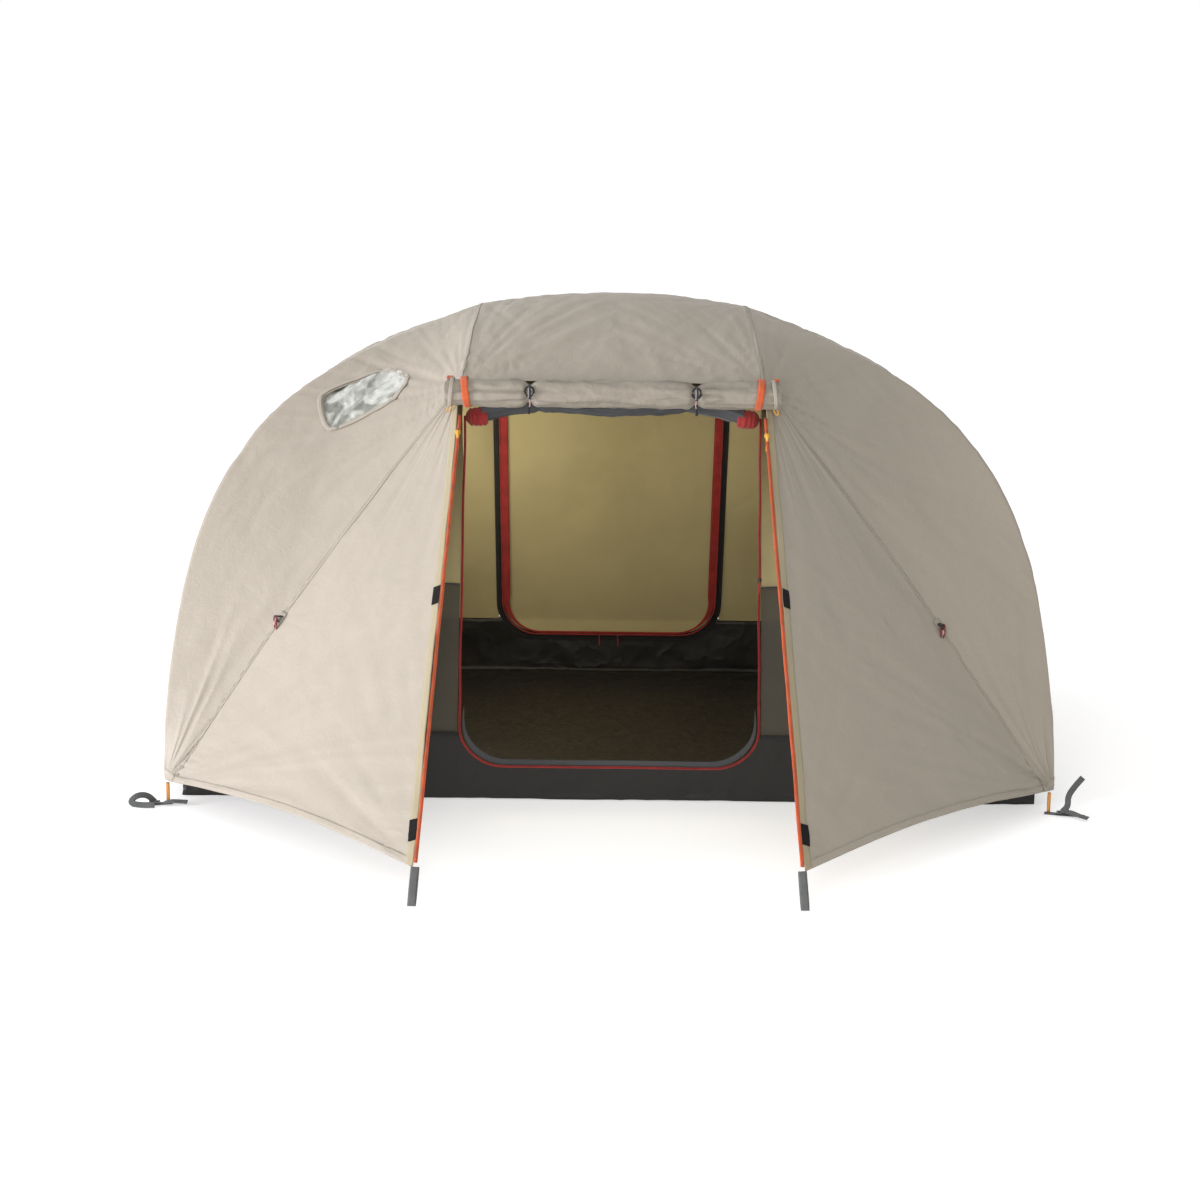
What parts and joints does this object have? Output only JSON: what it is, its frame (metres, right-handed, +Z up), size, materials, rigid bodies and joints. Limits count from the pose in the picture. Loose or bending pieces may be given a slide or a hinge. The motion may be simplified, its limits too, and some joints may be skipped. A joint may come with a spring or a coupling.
{
  "type": "dome tent",
  "caption": "Pitched dome tent with a hubbed pole frame, inner tent, fly sheet, porches and a rolled-up door.",
  "frame": {"origin": "on the ground under the middle of the tent", "axes": "+Z up, +X along the tent, the open doorway faces -Y"},
  "size_m": [2.4244, 3.0084, 1.259],
  "materials": {
    "fly_fabric": "coated polyester taffeta, warm sand grey, light creases",
    "clear_film": "clear flexible film, wrinkled",
    "inner_fabric": "breathable cream polyester",
    "mesh": "fine grey insect mesh",
    "tub_fabric": "dark brown coated floor fabric, satin",
    "rolled_door": "dark grey fabric, rolled",
    "pole_alloy": "bronze orange anodised tube",
    "hub_plastic": "moulded black nylon",
    "buckle_plastic": "moulded black acetal",
    "webbing": "dark grey woven webbing",
    "orange_trim": "orange zip tape and piping",
    "red_trim": "red zip tape",
    "pull_trim": "amber cord and zip pull"
  },
  "bodies": {
    "tent": {"fly_roof": "fly_fabric", "fly_left_side": "fly_fabric", "fly_right_side": "fly_fabric", "fly_window": "clear_film", "front_flap_left": "fly_fabric", "front_flap_right": "fly_fabric", "rear_flap_left": "fly_fabric", "rear_flap_right": "fly_fabric", "front_wall_left": "mesh", "rear_wall_left": "inner_fabric", "inner_left_end": "inner_fabric", "front_wall_right": "mesh", "rear_wall_right": "inner_fabric", "inner_right_end": "inner_fabric", "inner_roof": "inner_fabric", "tub_floor": "tub_fabric", "front_inner_zip": "red_trim", "rear_inner_zip": "red_trim", "inner_door_roll": "rolled_door", "left_hub": "hub_plastic", "left_brow_pole": "pole_alloy", "right_hub": "hub_plastic", "right_brow_pole": "pole_alloy", "ridge_pole": "pole_alloy", "front_leg_left": "pole_alloy", "front_pole_tip_left": "pole_alloy", "front_corner_strap_left": "webbing", "front_peg_loop_left": "webbing", "front_leg_right": "pole_alloy", "front_pole_tip_right": "pole_alloy", "front_corner_strap_right": "webbing", "front_peg_loop_right": "webbing", "rear_leg_left": "pole_alloy", "rear_pole_tip_left": "pole_alloy", "rear_corner_strap_left": "webbing", "rear_peg_loop_left": "webbing", "rear_leg_right": "pole_alloy", "rear_pole_tip_right": "pole_alloy", "rear_corner_strap_right": "webbing", "rear_peg_loop_right": "webbing", "fly_door_roll": "fly_fabric", "roll_strap_left": "orange_trim", "fly_zip_left": "orange_trim", "guy_loop_left": "buckle_plastic", "roll_strap_right": "orange_trim", "fly_zip_right": "orange_trim", "guy_loop_right": "buckle_plastic"},
    "rear_fly_door": {"rear_fly_door": "fly_fabric"},
    "rear_inner_door": {"rear_inner_door": "inner_fabric"},
    "fly_zip_slider_left": {"fly_zip_slider_left": "pull_trim"},
    "fly_zip_slider_right": {"fly_zip_slider_right": "pull_trim"},
    "rear_inner_slider_left": {"rear_inner_slider_left": "red_trim"},
    "rear_inner_slider_right": {"rear_inner_slider_right": "red_trim"},
    "front_inner_slider": {"front_inner_slider": "red_trim"},
    "roll_toggle_left": {"roll_toggle_left": "buckle_plastic"},
    "roll_toggle_right": {"roll_toggle_right": "buckle_plastic"},
    "front_buckle_left": {"front_buckle_left": "buckle_plastic"},
    "front_buckle_right": {"front_buckle_right": "buckle_plastic"},
    "rear_buckle_left": {"rear_buckle_left": "buckle_plastic"},
    "rear_buckle_right": {"rear_buckle_right": "buckle_plastic"}
  },
  "joints": [
    {"name": "rear_fly_door_lift", "type": "hinge", "parent": "tent", "child": "rear_fly_door", "pos_m": [0, 0.467, 1.033], "axis": [1, 0, 0], "range_deg": [0, 48]},
    {"name": "rear_inner_door_lift", "type": "hinge", "parent": "tent", "child": "rear_inner_door", "pos_m": [0, 0.426, 0.98], "axis": [-1, 0, 0], "range_deg": [0, 70]},
    {"name": "fly_zip_left_pull", "type": "slide", "parent": "tent", "child": "fly_zip_slider_left", "axis": [-0.0268, -0.7198, -0.6937], "range_m": [0, 1.15]},
    {"name": "fly_zip_right_pull", "type": "slide", "parent": "tent", "child": "fly_zip_slider_right", "axis": [0.0268, -0.7198, -0.6937], "range_m": [0, 1.15]},
    {"name": "rear_inner_zip_left_pull", "type": "slide", "parent": "rear_inner_door", "child": "rear_inner_slider_left", "axis": [-1, 0, 0], "range_m": [0, 0.19]},
    {"name": "rear_inner_zip_right_pull", "type": "slide", "parent": "rear_inner_door", "child": "rear_inner_slider_right", "axis": [1, 0, 0], "range_m": [0, 0.19]},
    {"name": "front_inner_zip_pull", "type": "slide", "parent": "tent", "child": "front_inner_slider", "axis": [0, 0.3022, 0.9532], "range_m": [-0.3, 0.33]},
    {"name": "roll_toggle_left_turn", "type": "hinge", "parent": "tent", "child": "roll_toggle_left", "pos_m": [-0.212, -0.573, 1.038], "axis": [0, 1, 0], "range_deg": [-40, 40]},
    {"name": "roll_toggle_right_turn", "type": "hinge", "parent": "tent", "child": "roll_toggle_right", "pos_m": [0.212, -0.573, 1.038], "axis": [0, 1, 0], "range_deg": [-40, 40]},
    {"name": "front_buckle_left_tilt", "type": "hinge", "parent": "tent", "child": "front_buckle_left", "pos_m": [-1.14023, -0.75951, 0.00465], "axis": [-0.2756, 0.9613, 0], "range_deg": [0, 60]},
    {"name": "front_buckle_right_tilt", "type": "hinge", "parent": "tent", "child": "front_buckle_right", "pos_m": [1.14023, -0.75951, 0.00465], "axis": [-0.2756, -0.9613, 0], "range_deg": [0, 60]},
    {"name": "rear_buckle_left_tilt", "type": "hinge", "parent": "tent", "child": "rear_buckle_left", "pos_m": [-1.14023, 0.75951, 0.00465], "axis": [0.2756, 0.9613, 0], "range_deg": [0, 60]},
    {"name": "rear_buckle_right_tilt", "type": "hinge", "parent": "tent", "child": "rear_buckle_right", "pos_m": [1.14023, 0.75951, 0.00465], "axis": [0.2756, -0.9613, 0], "range_deg": [0, 60]}
  ]
}
